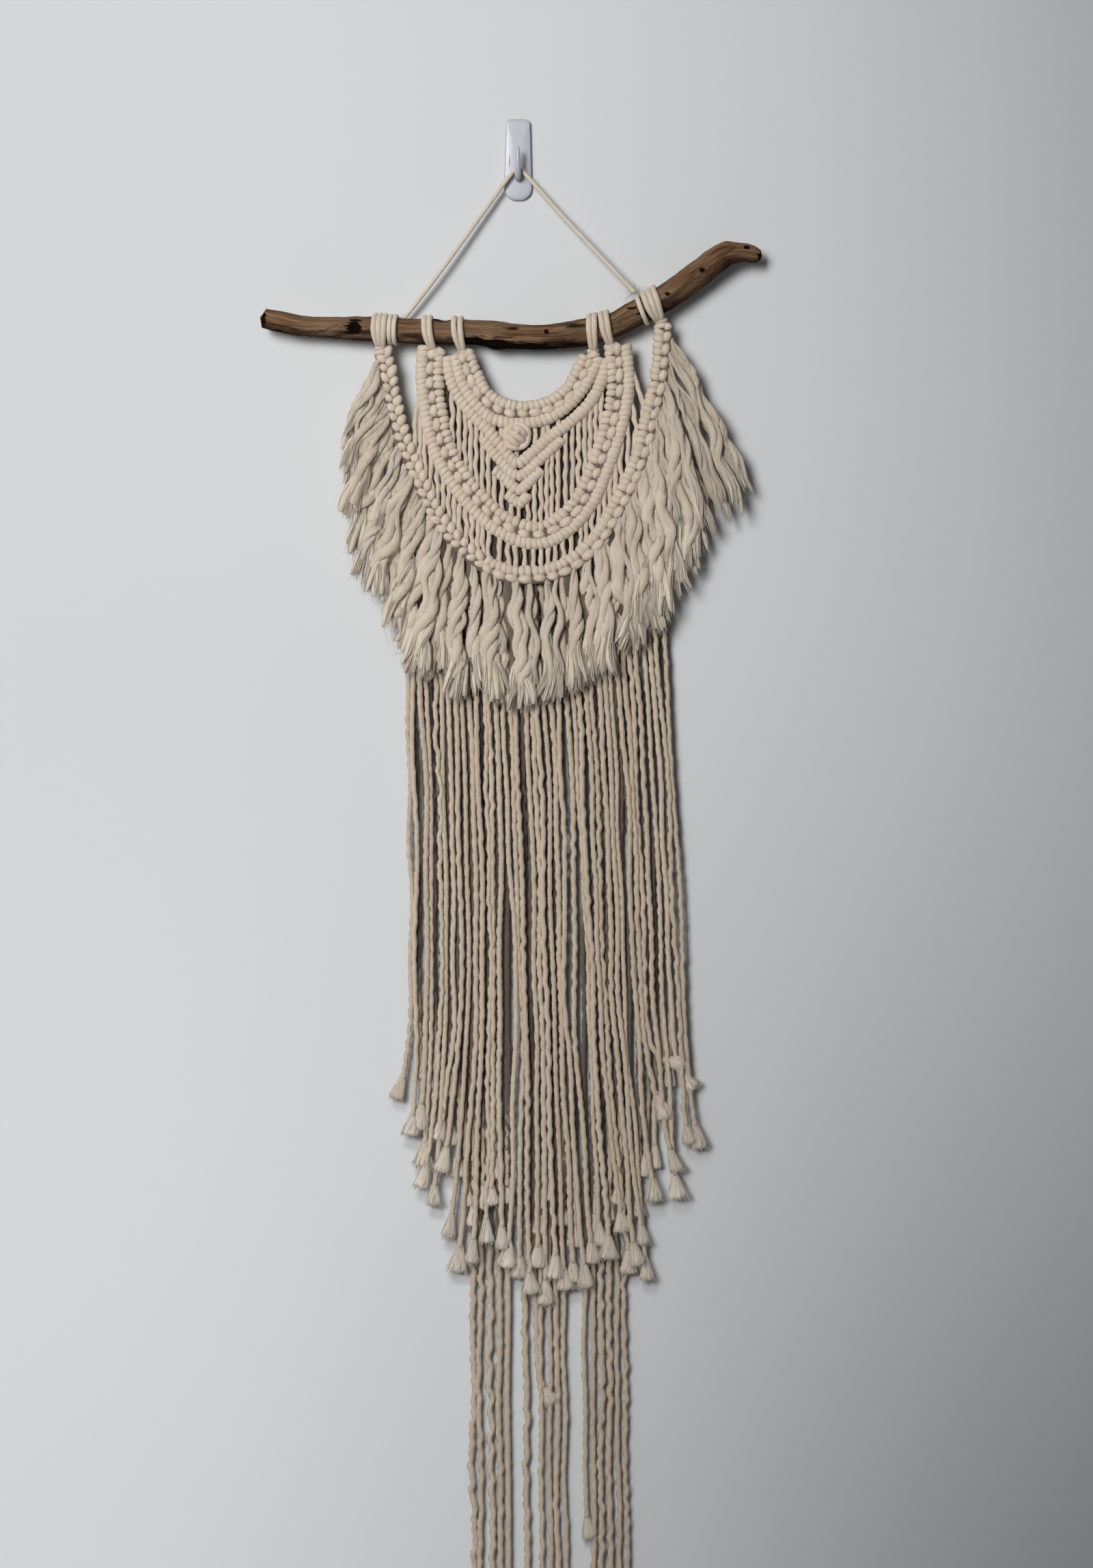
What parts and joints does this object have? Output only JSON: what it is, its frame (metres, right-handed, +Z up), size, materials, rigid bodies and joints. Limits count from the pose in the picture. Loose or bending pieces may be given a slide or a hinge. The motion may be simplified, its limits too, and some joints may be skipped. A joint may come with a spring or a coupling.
{
  "type": "macrame wall hanging on a driftwood branch and adhesive wall hook",
  "caption": "Knotted cotton wall hanging with curved sennits, a chevron net, brushed fringe and long hanging cords, tied to a driftwood branch that hangs by a cord from a wall hook.",
  "frame": {"origin": "middle of the hook's flat back face, on the wall", "axes": "+X to the right along the branch as seen from the front, +Y out of the hook's back face into the wall, +Z up; the front faces -Y"},
  "size_m": [0.4384, 0.0376, 1.388],
  "materials": {
    "hook_plastic": "white moulded plastic, satin",
    "driftwood": "bare weathered driftwood, matt, cracked",
    "hanging_cord": "thin twisted cotton cord, matt",
    "cotton_cord": "soft twisted three-ply cotton cord, undyed, matt",
    "cotton_fringe": "brushed-out cotton fibres, undyed, matt"
  },
  "bodies": {
    "root": {"wall_hook": "hook_plastic", "branch": "driftwood", "hanging_cord": "hanging_cord", "hanger_wrap_left": "hanging_cord", "hanger_wrap_right": "hanging_cord", "knotted_panel": "cotton_cord", "fringe": "cotton_fringe", "long_strands": "cotton_cord", "lower_strands": "cotton_cord"}
  },
  "joints": []
}
